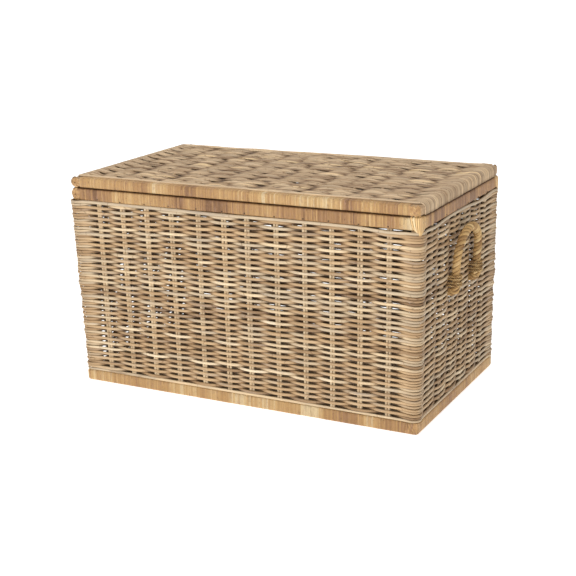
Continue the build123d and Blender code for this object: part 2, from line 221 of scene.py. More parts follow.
WALL_STOPS = [
    (0.0, (0.25, 0.145, 0.065)), (0.2, (0.42, 0.265, 0.13)), (0.45, (0.57, 0.385, 0.205)),
    (0.62, (0.54, 0.42, 0.275)), (0.8, (0.70, 0.52, 0.31)), (1.0, (0.82, 0.67, 0.46)),
]
LID_STOPS = [
    (0.0, (0.26, 0.16, 0.085)), (0.3, (0.44, 0.295, 0.17)), (0.6, (0.56, 0.405, 0.25)),
    (0.85, (0.68, 0.50, 0.31)), (1.0, (0.82, 0.60, 0.34)),
]
PEEL_STOPS = [
    (0.0, (0.24, 0.12, 0.052)), (0.3, (0.44, 0.242, 0.10)), (0.6, (0.60, 0.365, 0.145)),
    (0.85, (0.72, 0.49, 0.225)), (1.0, (0.80, 0.63, 0.37)),
]
ROPE_STOPS = [
    (0.0, (0.27, 0.135, 0.045)), (0.5, (0.56, 0.35, 0.135)), (1.0, (0.88, 0.66, 0.34)),
]
wall_cane = cane("wall_cane", WALL_STOPS, (0.30, 0.24, 0.19), 0.34)
lid_cane = cane("lid_cane", LID_STOPS, (0.30, 0.24, 0.18), 0.30, 0.6)
stake_cane = cane("stake_cane", WALL_STOPS, (0.42, 0.27, 0.15), 0.25)
peel_cane = cane("peel_cane", PEEL_STOPS, (0.44, 0.26, 0.17), 0.22, 0.42)
rope_fibre = cane("rope_fibre", ROPE_STOPS, (0.45, 0.27, 0.10), 0.5, 0.75)
core_wood = plain("core_wood", (0.30, 0.18, 0.09), (0.52, 0.35, 0.19), 3.0, (20, 90, 90), 0.7)
board_wood = plain("board_wood", (0.42, 0.28, 0.15), (0.62, 0.46, 0.28), 2.0, (3, 45, 45), 0.6)
bar_wood = plain("bar_wood", (0.34, 0.21, 0.11), (0.55, 0.38, 0.21), 2.0, (40, 4, 40), 0.7)
hinge_iron = plain("hinge_iron", (0.035, 0.03, 0.026), (0.10, 0.085, 0.07), 60.0, (1, 1, 1), 0.45, 0.9)
tack_iron = plain("tack_iron", (0.05, 0.03, 0.02), (0.14, 0.09, 0.06), 60.0, (1, 1, 1), 0.6, 0.4)
nail_iron = plain("nail_iron", (0.18, 0.165, 0.15), (0.42, 0.40, 0.37), 80.0, (1, 1, 1), 0.4, 1.0)


# ---- Meshes swept along paths
def unit(v):
    return v / np.maximum(np.linalg.norm(v, axis=-1, keepdims=True), 1e-12)


def circle(sides):
    """A round cross-section of radius 1."""
    turn = np.arange(sides) * 2 * math.pi / sides
    return np.stack([np.cos(turn), np.sin(turn)], axis=1)


def tangents(points, closed):
    if closed:
        return unit(np.roll(points, -1, axis=0) - np.roll(points, 1, axis=0))
    return unit(np.gradient(points, axis=0))


class Skin:
    """Gathers swept rods and strips into one mesh."""

    def __init__(self):
        self.points, self.quads, self.caps = [], [], []
        self.tint, self.shade, self.grain = [], [], []
        self.count = 0

    def sweep(self, points, out, section, scale, tint, shade=1.0, closed=False, along=None):
        """A section (outward, sideways) carried along points; out is roughly outward."""
        points = np.asarray(points, float)
        rings, sides = len(points), len(section)
        way = tangents(points, closed)
        out = np.broadcast_to(np.asarray(out, float), points.shape)
        up = unit(out - (out * way).sum(1, keepdims=True) * way)
        side = np.cross(way, up)
        scale = np.broadcast_to(np.asarray(scale, float).reshape(-1, 1) if np.ndim(scale) == 1
                                else np.asarray(scale, float), (rings, 2))
        ring = (points[:, None]
                + up[:, None] * (section[None, :, :1] * scale[:, None, :1])
                + side[:, None] * (section[None, :, 1:] * scale[:, None, 1:]))
        first = self.count
        self.points.append(ring.reshape(-1, 3))
        if along is None:
            steps = np.linalg.norm(np.diff(points, axis=0), axis=1)
            along = np.concatenate([[0], np.cumsum(steps)])
        grain = np.empty((rings, sides, 3))
        grain[..., 0] = along[:, None] + rng.random() * 40
        grain[..., 1] = section[None, :, 0] + rng.random() * 40
        grain[..., 2] = section[None, :, 1]
        self.grain.append(grain.reshape(-1, 3))
        for store, value in ((self.tint, tint), (self.shade, shade)):
            value = np.asarray(value, float)
            value = value[:, None] if value.ndim == 1 else value
            store.append(np.broadcast_to(value, (rings, sides)).ravel())
        last = rings if closed else rings - 1
        i, j = np.meshgrid(np.arange(last), np.arange(sides), indexing="ij")
        i2, j2 = (i + 1) % rings, (j + 1) % sides
        quads = np.stack([i * sides + j, i2 * sides + j, i2 * sides + j2, i * sides + j2], axis=-1)
        self.quads.append(quads.reshape(-1, 4)[:, ::-1] + first)
        if not closed:
            near = np.arange(sides) + first
            far = near + (rings - 1) * sides
            self.caps += [near, far[::-1]]
        self.count += rings * sides

    def build(self, name, material, body, slot, *stands_for):
        """The finished piece, riding on its body."""
        mesh = bpy.data.meshes.new(name)
        co = np.concatenate(self.points)
        quads = np.concatenate(self.quads)
        loops = np.concatenate([quads.ravel(), *self.caps])
        sizes = np.array([4] * len(quads) + [len(c) for c in self.caps])
        starts = np.concatenate([[0], np.cumsum(sizes)[:-1]])
        mesh.vertices.add(len(co))
        mesh.vertices.foreach_set("co", co.astype(np.float32).ravel())
        mesh.loops.add(len(loops))
        mesh.loops.foreach_set("vertex_index", loops.astype(np.int32))
        mesh.polygons.add(len(sizes))
        mesh.polygons.foreach_set("loop_start", starts.astype(np.int32))
        mesh.polygons.foreach_set("loop_total", sizes.astype(np.int32))
        mesh.polygons.foreach_set("use_smooth", np.ones(len(sizes), bool))
        mesh.update(calc_edges=True)
        for label, store in (("tint", self.tint), ("shade", self.shade)):
            made = mesh.attributes.new(label, "FLOAT", "POINT")
            made.data.foreach_set("value", np.concatenate(store).astype(np.float32))
        made = mesh.attributes.new("grain", "FLOAT_VECTOR", "POINT")
        made.data.foreach_set("vector", np.concatenate(self.grain).astype(np.float32).ravel())
        mesh.materials.append(material)
        piece = bpy.data.objects.new(name, mesh)
        bpy.context.scene.collection.objects.link(piece)
        if body:
            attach(piece, body)
        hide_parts(*stands_for)
        return piece


def smooth(t):
    t = np.clip(t, 0, 1)
    return t * t * (3 - 2 * t)


def wander(count, step, size):
    """A smooth random value at each of count points, new about every step points."""
    n = max(2, int(count / step) + 2)
    values = rng.normal(0, size, n)
    place = np.linspace(0, n - 1.001, count)
    low = place.astype(int)
    t = smooth(place - low)
    return values[low] * (1 - t) + values[low + 1] * t


def closed_up(values, last=8):
    """The same values, led back to the first one over the last few, for a closed row."""
    t = np.linspace(0, 1, last + 1)[1:]
    values[-last:] = values[-last - 1] * (1 - t) + values[0] * t
    return values


# ---- Camera
def make_camera():
    """The photographed view: a long lens, turned a little about its own axis."""
    azimuth, elevation, roll = math.radians(27.94), math.radians(16.13), math.radians(-1.44)
    distance, target = 2.68976, Vector((-0.00138, 0, 0.19534))
    back = Vector((math.sin(azimuth) * math.cos(elevation),
                   -math.cos(azimuth) * math.cos(elevation), math.sin(elevation)))
    right = (-back).cross(Vector((0, 0, 1))).normalized()
    up = right.cross(-back)
    across = right * math.cos(roll) + up * math.sin(roll)
    upward = -right * math.sin(roll) + up * math.cos(roll)
    data = bpy.data.cameras.new("camera")
    data.sensor_width = 36
    data.lens = 76.459
    data.clip_end = 50
    camera = bpy.data.objects.new("camera", data)
    bpy.context.scene.collection.objects.link(camera)
    turn = Matrix((across, upward, back)).transposed().to_4x4()
    camera.matrix_world = Matrix.Translation(target + back * distance) @ turn
    bpy.context.scene.camera = camera


# ---- Rope handles
ROPE_LOOK = 8.9 * MM                     # its radius with its loose fibres
ROPE_LAY = 30 * MM                       # length of one full turn of its strands
PIVOT_Z = 294 * MM                       # height that the arch swings about
ROPE_X = 407.714 * MM                    # the legs' distance from the middle
ENTER_Z = 246 * MM                       # where a leg goes in through the wall
HANDLE_Y = 5 * MM                        # the handle's middle, behind the trunk's
LEG = 62 * MM                            # from there to each leg
LEAN = math.radians(5)                   # of the arch at rest, outwards
KNOT_X = 369.2 * MM
KNOT = 13 * MM
BANDS = (279.5 * MM, 266 * MM)           # heights of a leg's two lashings
BAND_ROUNDS = (-2.75 * MM, 2.75 * MM)    # the two rounds of cord in each


def rope_route(side):
    """The control points, from the knot in front, over the arch, to the rear knot."""
    def risen(y, height):
        return (side * (ROPE_X + height * math.sin(LEAN)), HANDLE_Y + y,
                PIVOT_Z + height * math.cos(LEAN))

    front = [
        (side * 374 * MM, HANDLE_Y - LEG, ENTER_Z), (side * ROPE_X, HANDLE_Y - LEG, ENTER_Z),
        (side * ROPE_X, HANDLE_Y - LEG, 266 * MM), (side * ROPE_X, HANDLE_Y - LEG, PIVOT_Z),
        risen(-62 * MM, 34 * MM), risen(-40 * MM, 66 * MM),
    ]
    rear = [(x, 2 * HANDLE_Y - y, z) for x, y, z in reversed(front)]
    return front + [risen(0, 79 * MM)] + rear


def spline_points(route, name):
    """The line of a NURBS spline through the route, as Blender draws it."""
    data = bpy.data.curves.new(name, "CURVE")
    data.dimensions = "3D"
    data.resolution_u = 24
    spline = data.splines.new("NURBS")
    spline.points.add(len(route) - 1)
    for point, place in zip(spline.points, route):
        point.co = (*place, 1)
    spline.order_u = 3
    spline.use_endpoint_u = True
    holder = bpy.data.objects.new(name, data)
    mesh = bpy.data.meshes.new_from_object(holder)
    line = np.array([v.co for v in mesh.vertices], float)
    bpy.data.objects.remove(holder)
    bpy.data.curves.remove(data)
    bpy.data.meshes.remove(mesh)
    return line


def resample(line, step):
    """Points an even step apart along a line."""
    along = np.concatenate([[0], np.cumsum(np.linalg.norm(np.diff(line, axis=0), axis=1))])
    at = np.linspace(0, along[-1], max(2, int(along[-1] / step) + 1))
    return np.stack([np.interp(at, along, line[:, k]) for k in range(3)], axis=1), at


def carried_frames(points, start, closed=False):
    """A normal at each point that turns no more than the line does."""
    way = tangents(points, closed)
    normal = np.zeros_like(points)
    current = unit(start - (start @ way[0]) * way[0])
    for i, w in enumerate(way):
        current = unit(current - (current @ w) * w)
        normal[i] = current
    return normal, np.cross(way, normal)


def lay_rope(skin, points, along, radius, lay, start, strands=3, sides=14, closed=False, dark=0.0):
    """Strands twisted round a line; each one shows the yarns that it is laid from."""
    normal, side = carried_frames(points, np.asarray(start, float), closed)
    section = circle(sides)
    strand = radius * 0.48
    reach = radius - strand
    turns = along / lay
    if closed:
        turns = along / along[-1] * round(along[-1] / lay) * (1 - 1 / len(along))
    for k in range(strands):
        angle = 2 * math.pi * (turns + k / strands)
        radial = np.cos(angle)[:, None] * normal + np.sin(angle)[:, None] * side
        yarn = 1 + 0.06 * np.cos(2 * math.pi * along / (lay * 0.13) + k)
        tint = np.clip(0.5 + wander(len(points), 7, 0.24) + rng.normal(0, 0.05) - dark, 0, 1)
        # Painted shade: each strand is darker on its inner side, in the creases between strands.
        crease = 0.5 + 0.5 * section[:, 0]
        shade = np.broadcast_to(0.06 + 0.94 * smooth((crease - 0.5) * 2.6), (len(points), sides))
        skin.sweep(points + radial * reach, radial, section, strand * yarn[:, None] * np.ones(2),
                   tint, shade, closed=closed)


def knot(skin, centre, radius, side):
    """An overhand knot pulled tight: a trefoil of the same rope."""
    t = np.linspace(0, 2 * math.pi, 90, endpoint=False)
    size = radius * 0.245
    loop = np.stack([-np.sin(3 * t) * size * 1.1 * side,
                     (np.sin(t) + 2 * np.sin(2 * t)) * size,
                     (np.cos(t) - 2 * np.cos(2 * t)) * size], axis=1) + centre
    steps = np.linalg.norm(np.roll(loop, -1, axis=0) - loop, axis=1)
    along = np.concatenate([[0], np.cumsum(steps)])[:-1]
    lay_rope(skin, loop, along, radius * 0.42, 26 * MM, (1, 0, 0), sides=8, closed=True)


def lashing(skin, side, y, z):
    """One round of thin cord: round the leg, through the wall and round its inside."""
    cord, fold = 2.1 * MM, 4 * MM
    reach = ROPE_LOOK + 0.1 * MM + cord
    inner = HALF_X - TAPER * (WALL_HIGH - z) / (WALL_HIGH - WALL_LOW) - WALL - cord - 0.3 * MM
    turn = np.linspace(-math.pi / 2, math.pi / 2, 16)
    nose = [(ROPE_X + reach * math.cos(a), reach * math.sin(a)) for a in turn]
    heel = [(inner + fold, reach), (inner, reach - fold), (inner, fold - reach),
            (inner + fold, -reach)]
    ring = np.array([(side * x, y + w, z) for x, w in nose + heel])
    ring, _ = resample(np.vstack([ring, ring[:1]]), 2.2 * MM)
    ring = ring[:-1]
    steps = np.linalg.norm(np.roll(ring, -1, axis=0) - ring, axis=1)
    along = np.concatenate([[0], np.cumsum(steps)])[:-1]
    lay_rope(skin, ring, along, cord, 13 * MM, (0, 0, 1), sides=8, closed=True, dark=0.06)


def make_handles():
    """Each handle is one rope from knot to knot, whose line turns at the height its bail swings about.
    """
    for word, side in (("left", -1), ("right", 1)):
        line, along = resample(spline_points(rope_route(side), "route"), 2 * MM)
        skin = Skin()
        lay_rope(skin, line, along, ROPE_LOOK, ROPE_LAY, (0, 0, 1))
        rope = skin.build(f"rope_{word}", rope_fibre, None, "rope_fibre", f"rope_handle_{word}",
                          f"rope_end_{word}_front", f"rope_end_{word}_rear")
        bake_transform(rope)
        knots, bands = Skin(), Skin()
        for leg in (-1, 1):
            y = HANDLE_Y + leg * LEG
            knot(knots, np.array((side * KNOT_X, y, ENTER_Z)), KNOT, side)
            for band in BANDS:
                for step in BAND_ROUNDS:
                    lashing(bands, side, y, band + step)
        knots.build(f"rope_knots_{word}", rope_fibre, "trunk", "rope_fibre")
        bands.build(f"rope_lashings_{word}", rope_fibre, "trunk", "rope_fibre",
                    f"rope_lashing_{word}_front", f"rope_lashing_{word}_rear")


# ---- Woven walls
def stake_places():
    """Where each pair of stakes, and each corner post, is along the walls' middle line.

    Returns (distance, kind) in order, anticlockwise from the front left, and the
    lengths of a long wall, an end wall, a corner and the whole way round.
    """
    long_run = 2 * (HALF_X - POST)
    end_run = 2 * (HALF_Y - POST)
    corner = math.pi / 2 * (POST - WALL / 2)
    places, start = [], 0.0
    for run, count in ((long_run, LONG_STAKES), (end_run, END_STAKES)) * 2:
        middle = start + run / 2
        for i in range(count):
            shift = (i - (count - 1) / 2) * STAKE_STEP
            places.append((middle + shift + rng.normal(0, STAKE_SPREAD), "stake"))
        places.append((start + run + corner / 2, "post"))
        start += run + corner
    return places, (long_run, end_run, corner, start)


def ring_points(s, offset, z, runs):
    """Points on the walls' middle line, moved outwards by offset, and their outward way."""
    long_run, end_run, corner, whole = runs
    s = np.mod(s, whole)
    radius = POST - WALL / 2
    cx, cy = HALF_X - POST, HALF_Y - POST
    points = np.zeros((len(s), 3))
    out = np.zeros((len(s), 3))
    start = 0.0
    corners = ((cx, -cy), (cx, cy), (-cx, cy), (-cx, -cy))
    for k, run in enumerate((long_run, end_run, long_run, end_run)):
        face = math.radians(-90 + 90 * k)
        normal = np.array((math.cos(face), math.sin(face)))
        way = np.array((-normal[1], normal[0]))
        here = (s >= start) & (s < start + run)
        foot = np.array(corners[k - 1]) + normal * radius
        points[here, :2] = foot + way * (s[here] - start)[:, None] + normal * offset[here][:, None]
        out[here, :2] = normal
        bend = (s >= start + run) & (s < start + run + corner)
        angle = face + (s[bend] - start - run) / radius
        ray = np.stack([np.cos(angle), np.sin(angle)], axis=1)
        points[bend, :2] = np.array(corners[k]) + ray * (radius + offset[bend])[:, None]
        out[bend, :2] = ray
        start += run + corner
    lean = TAPER * np.clip((WALL_HIGH - z) / (WALL_HIGH - WALL_LOW), 0, 1)
    points[:, 0] -= lean * np.clip(points[:, 0] / cx, -1, 1)
    points[:, 2] = z
    return points, out


def row_samples(runs):
    """Distances along the middle line, closer together in the corners."""
    long_run, end_run, corner, _ = runs
    parts, start = [], 0.0
    for run in (long_run, end_run) * 2:
        parts.append(start + np.linspace(0, run, int(run / SAMPLE), endpoint=False))
        parts.append(start + run + np.linspace(0, corner, CORNER_SAMPLES, endpoint=False))
        start += run + corner
    return np.concatenate(parts)


def weave_offsets(s, places, whole, row):
    """In front of a pair of stakes in one row, behind it in the next, round every post."""
    knots, values, index = [], [], 0
    for place, kind in places:
        if kind == "post":
            knots += [place - POST_REACH, place + POST_REACH]
            values += [1, 1]
        else:
            side = 1 if (index + row) % 2 else -1
            knots += [place - STAKE_REACH, place + STAKE_REACH]
            values += [side, side]
            index += 1
    knots = np.array([knots[-1] - whole] + knots + [knots[0] + whole])
    values = np.array([values[-1]] + values + [values[0]], float)
    spot = np.clip(np.searchsorted(knots, s, side="right") - 1, 0, len(knots) - 2)
    t = smooth((s - knots[spot]) / (knots[spot + 1] - knots[spot]))
    return values[spot] * (1 - t) + values[spot + 1] * t


def rod_tints(s, places):
    """A tone for each of the several rods in a row, which change at a stake or post."""
    cuts = sorted(rng.choice(len(places), rng.integers(3, 6), replace=False))
    tint = np.empty(len(s))
    edges = [places[c][0] for c in cuts]
    slot = np.searchsorted(edges, s) % len(edges)
    for i in range(len(edges)):
        tint[slot == i] = rng.beta(2.0, 1.9) * 0.9
    return np.clip(tint + wander(len(s), 22, 0.07), 0, 1)


def near_post(s, places, runs):
    """How near each point is to a corner, from 1 down to 0; and 1 along the left half."""
    long_run, end_run, corner, whole = runs
    total, left = np.zeros(len(s)), np.zeros(len(s))
    for place, kind in places:
        if kind == "post":
            away = np.abs(s - place)
            away = np.minimum(away, whole - away)
            total += np.exp(-(away / POST_FADE) ** 2)
    left[(s > long_run + end_run + 2 * corner + long_run / 2) | (s < long_run / 2)] = 1
    return total, left


def sag(s, whole, share):
    """How far the top rows hang below the rim at four spots: (place, width, depth)."""
    long_run = 2 * (HALF_X - POST)
    sagging = 0.86                       # of the way up, above which the rows sag
    spots = ((long_run - 45 * MM, 50 * MM, 4.4 * MM), (long_run + 75 * MM, 45 * MM, 4.6 * MM),
             (long_run + 330 * MM, 60 * MM, 5.6 * MM), (long_run * 0.45, 90 * MM, 1.5 * MM))
    down = np.zeros(len(s))
    for place, wide, deep in spots:
        away = np.abs(s - place)
        away = np.minimum(away, whole - away)
        down += deep * np.exp(-(away / wide) ** 2)
    return down * smooth((share - sagging) / (1 - sagging))


def make_walls():
    """The rows of rods, all round, and the pairs of stakes that they pass."""
    places, runs = stake_places()
    whole = runs[3]
    s = row_samples(runs)
    section = circle(8)
    # Painted shade round each rod: darker along its upper and lower edges and darkest on its inner
    # side.
    round_shade = 0.42 + 0.58 * smooth(section[:, 0] * 0.9 + 0.55)
    rows = int(round((WALL_HIGH - WALL_LOW) / ROW))
    pitch = (WALL_HIGH - WALL_LOW) / rows
    words = ("low", "middle", "upper", "top")
    skins = [Skin() for _ in words]
    shallow, deep = 0.16, 0.22           # how much a rod is pressed flat at a post, and how much painted shade darkens it there
    kept, fresh = 0.78, 0.22             # of a row's line: from the row below, and its own
    common = wander(len(s), 18, 0.9 * MM)
    for row in range(rows):
        common = closed_up(kept * common + fresh * wander(len(s), 16, 1.5 * MM))
        z0 = WALL_LOW + (row + 0.5) * pitch
        share = row / (rows - 1)
        calm = smooth(np.minimum(share, 1 - share) * 12)
        own = closed_up(wander(len(s), 9, 0.3 * MM))
        swing = weave_offsets(s, places, whole, row)
        if row in (0, rows - 1):
            swing = np.ones(len(s))
        z = z0 + (common + own) * calm - sag(s, whole, share) * (0.4 + 0.6 * np.clip(swing, 0, 1))
        thick = closed_up(1 + 0.06 * wander(len(s), 30, 1.0)) * rng.uniform(0.92, 1.06)
        offset = swing * SWING + rng.normal(0, 0.35 * MM)
        post, left = near_post(s, places, runs)
        offset = offset + post * (CORNER_SWELL + LEFT_SWELL * share * left + rng.normal(0, 0.8 * MM))
        points, out = ring_points(s, offset, z, runs)
        tint = rod_tints(s, places)
        if row in (0, rows - 1):
            tint = np.clip(0.58 + 0.3 * tint, 0, 1)
        # Painted shade along each rod: dark where it passes behind the stakes, and darker near the
        # posts.
        shade = 0.1 + 0.9 * smooth(swing * 0.7 + 0.58)
        scale = thick[:, None] * np.array((ROD_DEPTH, ROD))
        scale[:, 1] *= 1 - shallow * post
        shade = (shade * (1 - deep * post))[:, None] * round_shade
        skins[row * len(words) // rows].sweep(points, out, section, scale, tint, shade, closed=True)
    walls = [f"{w}_wall_weave" for w in ("front", "rear", "left", "right")]
    for word, skin in zip(words, skins):
        skin.build(f"weave_{word}", wall_cane, "trunk", "rattan_weave", *walls)
    stakes = Skin()
    for place, kind in places:
        if kind == "post":
            continue
        for turn in (-1, 1):
            z = np.linspace(WALL_LOW - 2 * MM, WALL_HIGH + 2 * MM, 26)
            at = np.full(len(z), place + turn * PAIR) + wander(len(z), 5, 0.35 * MM)
            points, out = ring_points(at, wander(len(z), 6, 0.2 * MM), z, runs)
            thick = STAKE * (1 + 0.05 * wander(len(z), 6, 1.0)) * rng.uniform(0.95, 1.12)
            stakes.sweep(points, out, circle(8), thick[:, None] * np.ones(2),
                         np.full(len(z), np.clip(rng.normal(0.78, 0.1), 0.4, 1)), 0.93)
    make_tacks(places, runs)
    stakes.build("stake_rods", stake_cane, "trunk", "rattan_stake",
                 *[f"{w}_stakes" for w in ("front", "rear", "left", "right")])


# ---- Rails bound in peel
STRIP = 2.7 * MM                         # width of a strip of peel
PEEL = 1.5 * MM                          # its thickness
EDGE = 5.0 * MM                          # rounding of a bound rail
CORNER = 7 * MM                          # radius of a frame's corner, from above
FAN = 24 * MM                            # over which the strips fan out at a corner
PALE_REACH = 75 * MM                     # of the paler peel at the front right corner


def rail_profile(low, high):
    """A loop round a rail: (depth in from the face, height, and the outward way)."""
    places = []
    arcs = ((EDGE, high - EDGE, 0), (RAIL - EDGE, high - EDGE, 90),
            (RAIL - EDGE, low + EDGE, 180), (EDGE, low + EDGE, 270))
    for depth, z, start in arcs:
        for step in (0, 30, 60, 90):
            angle = math.radians(start + step)
            places.append((depth - EDGE * math.cos(angle), z + EDGE * math.sin(angle),
                           math.cos(angle), math.sin(angle)))
    return np.array(places)


def outline(s, half_x, half_y):
    """A point at distance s round the outside of a rectangle with round corners."""
    cx, cy = half_x - CORNER, half_y - CORNER
    runs = (2 * cx, 2 * cy) * 2
    bend = math.pi / 2 * CORNER
    corners = ((cx, -cy), (cx, cy), (-cx, cy), (-cx, -cy))
    for k, run in enumerate(runs):
        face = math.radians(-90 + 90 * k)
        normal = Vector((math.cos(face), math.sin(face)))
        if s <= run:
            way = Vector((-normal.y, normal.x))
            return Vector(corners[k - 1]) + normal * CORNER + way * s, normal
        s -= run
        if s <= bend:
            angle = face + s / CORNER
            ray = Vector((math.cos(angle), math.sin(angle)))
            return Vector(corners[k]) + ray * CORNER, ray
        s -= bend
    return outline(0.0, half_x, half_y)


# A strip's cross-section, as (outward, sideways), and the painted shade at each of its points, darker
# at its edges where strips meet.
STRIP_SECTION = np.array([(-0.7, -0.5), (-0.06, -0.27), (0.0, 0.0), (-0.06, 0.27), (-0.7, 0.5),
                          (-0.98, 0.0)])
STRIP_SHADE = np.array([0.3, 0.85, 1.0, 0.85, 0.3, 0.3])


def bind_ring(name, half_x, half_y, low, high, body, stands_for, tone, seam=None, keep=None,
              lean=0.0, pale=0.0):
    """Peel wound side by side round a frame; it fans out round the corners.

    The seam is the height at the gap between lid and rim, where painted shade darkens the
    peel; keep says where there is peel at all, lean is how far a strip leans beside a
    corner, and pale lightens the front right one.
    """
    whole = 4 * (half_x + half_y - 2 * CORNER) + 2 * math.pi * CORNER
    count = int(whole / STRIP)
    step = whole / count
    profile = rail_profile(low, high)
    mid = (low + high) / 2
    skin = Skin()
    patch = wander(count, 16, 0.20) + wander(count, 5, 0.09)
    corner_at = [2 * (half_x - CORNER) + math.pi / 4 * CORNER]
    corner_at.append(corner_at[0] + 2 * (half_y - CORNER) + math.pi / 2 * CORNER)
    corner_at.append(corner_at[1] + 2 * (half_x - CORNER) + math.pi / 2 * CORNER)
    corner_at.append(whole - math.pi / 4 * CORNER)
    for i in range(count):
        s = (i + 0.5) * step
        spot, ray = outline(s, half_x, half_y)
        if keep and not keep(spot):
            continue
        near = min(corner_at, key=lambda c: abs(c - s))
        away = (s - near) / FAN
        fan = max(0.0, 1 - abs(away))
        inner = Vector((max(-half_x + RAIL, min(half_x - RAIL, spot.x)),
                        max(-half_y + RAIL, min(half_y - RAIL, spot.y))))
        points, out, width = [], [], []
        for depth, z, nd, nz in profile:
            slide = 0.0
            if lean and depth < RAIL / 2:
                slide = -away * lean * fan * (z - mid) / (high - mid) if fan else 0.0
            at, _ = outline((s + slide) % whole, half_x, half_y)
            share = depth / RAIL
            flat = at.lerp(inner, share)
            points.append((flat.x, flat.y, z))
            out.append((ray.x * nd, ray.y * nd, nz))
            width.append(1.0 if not fan else 1 - 0.75 * share)
        scale = np.stack([np.full(len(points), PEEL), np.array(width) * step * 1.04], axis=1)
        points, out = np.array(points), np.array(out)
        points += out * rng.uniform(-0.15, 0.12) * MM
        paler = pale * math.exp(-((s - corner_at[0]) / PALE_REACH) ** 2)
        tint = float(np.clip(tone + patch[i] * (1 - paler) + paler + rng.normal(0, 0.11), 0, 1))
        shade = np.tile(STRIP_SHADE * rng.uniform(0.9, 1.0), (len(points), 1))
        # Painted shade: the strips are darkened beside the narrow gap between lid and rim.
        if seam is not None:
            seam_shade = smooth(1.2 - np.abs(points[:, 2] - seam) / (2.6 * MM))
            shade *= 1 - 0.8 * seam_shade[:, None]
        skin.sweep(points, out, STRIP_SECTION, scale, tint, shade, closed=True)
    return skin.build(name, peel_cane, body, "rattan_peel", *stands_for)


def lid_block(skin, face):
    """A right corner of the lid, plaited crosswise in narrow peel over the rail's end."""
    x_low, x_high = HALF_X - RAIL - 1 * MM, HALF_X - 4.2 * MM
    low, high = lid_low.z + 0.4 * MM, lid_high.z
    columns = 5
    column = (x_high - x_low) / columns
    wide, thick = 2.2 * MM, 1.3 * MM
    slope = 0.9                          # of a strip, up or down in turn
    edge_fall, end_fall = 18 * MM, 2.6 * MM
    for c in range(columns):
        way = 1 if c % 2 else -1
        middle = x_low + (c + 0.5) * column
        for z in np.arange(low + 1.2 * MM, high - 1.0 * MM, wide * 1.15):
            t = np.linspace(-0.62, 0.62, 5)
            x = middle + t * column
            up = np.clip(z + way * t * column * slope, low + 0.6 * MM, high - 0.6 * MM)
            edge = np.maximum(0, np.abs(up - (low + high) / 2) / ((high - low) / 2) - 0.6)
            bow = np.maximum(0, (x - (x_high - 6 * MM)) / (6 * MM))
            y = HALF_Y - (1.0 - 0.55 * np.cos(t * 2.2)) * MM
            y = y - edge ** 2 * edge_fall - bow ** 2 * end_fall
            points = np.stack([x, face * y, up], axis=1)
            skin.sweep(points, (0, face, 0), STRIP_SECTION, np.array([(thick, wide)] * len(t)),
                       float(np.clip(rng.normal(0.5, 0.13), 0, 1)),
                       np.tile(STRIP_SHADE, (len(t), 1)))


def fan_disc(skin, centre, way, radius, crown):
    """A round end of a left corner: strips fanned about a point, crowned along way."""
    count, steps = 17, 6
    twist, lip, thick = 0.35, 1.4 * MM, 1.6 * MM
    centre = np.array(centre)
    out = np.array((*way, 0.0))
    across = np.array((-way[1], way[0], 0.0))
    for i in range(count):
        angle = 2 * math.pi * (i + rng.uniform(-0.2, 0.2)) / count
        t = np.linspace(0.12, 1, steps)
        turn = angle + twist * t
        rise = crown * (1 - t ** 2) - lip * t ** 4
        points = (centre + np.outer(t * radius * np.cos(turn), across) + np.outer(rise, out)
                  + np.outer(t * radius * np.sin(turn), (0, 0, 1)))
        wide = 2 * math.pi * radius / count * (0.25 + 0.85 * t)
        scale = np.stack([np.full(steps, thick), wide], axis=1)
        # Painted shade: each strip is darker towards the disc's centre, where the strips crowd
        # together.
        skin.sweep(points, tuple(out), STRIP_SECTION, scale,
                   float(np.clip(rng.normal(0.55, 0.12), 0, 1)),
                   np.tile(STRIP_SHADE, (steps, 1)) * np.linspace(0.55, 1, steps)[:, None])


def corner_tongue(skin, face):
    """Wide strips over a right corner of the rim, drawn together in a tip below it."""
    cx, cy = HALF_X - CORNER, HALF_Y - CORNER
    count, thick = 9, 1.1 * MM
    for k in range(count):
        lane = (k - (count - 1) / 2) / ((count - 1) / 2)     # -1 to 1 across the tongue
        tip = rim_low.z - (9 - 7 * lane ** 2) * MM
        z = np.array([rim_high.z + 0.2 * MM, rim_high.z, rim_high.z - 3 * MM, rim_high.z - 9 * MM,
                      rim_high.z - 16 * MM, rim_low.z + 4 * MM, tip + 4 * MM, tip])
        proud = np.array([-7.5, -3.0, 0.1, 0.7, 0.7, 0.6, 0.5, -1.2]) * MM
        s = lane * np.interp(z, [tip, rim_low.z + 6 * MM, rim_high.z], [8.5, 15.5, 20]) * MM
        bend = np.pi / 4 * CORNER
        angle = np.clip(s, -bend, bend) / CORNER
        past = s - angle * CORNER
        ray = np.stack([np.cos(np.pi / 4 + angle), np.sin(np.pi / 4 + angle)], axis=1)
        way = np.stack([-ray[:, 1], ray[:, 0]], axis=1)
        flat = np.array((cx, cy)) + ray * (CORNER + proud)[:, None] + way * past[:, None]
        points = np.stack([flat[:, 0], face * flat[:, 1], z], axis=1)
        out = np.stack([ray[:, 0], face * ray[:, 1], np.zeros(len(z))], axis=1)
        out[:2] += (0, 0, 2)
        wide = np.interp(z, [tip, rim_high.z], [2.6, 5.2]) * MM
        scale = np.stack([np.full(len(z), thick), wide], axis=1)
        skin.sweep(points, out, STRIP_SECTION, scale, float(np.clip(rng.normal(0.70, 0.07), 0, 1)),
                   np.clip(np.tile(STRIP_SHADE, (len(z), 1)) + 0.25, 0, 1))


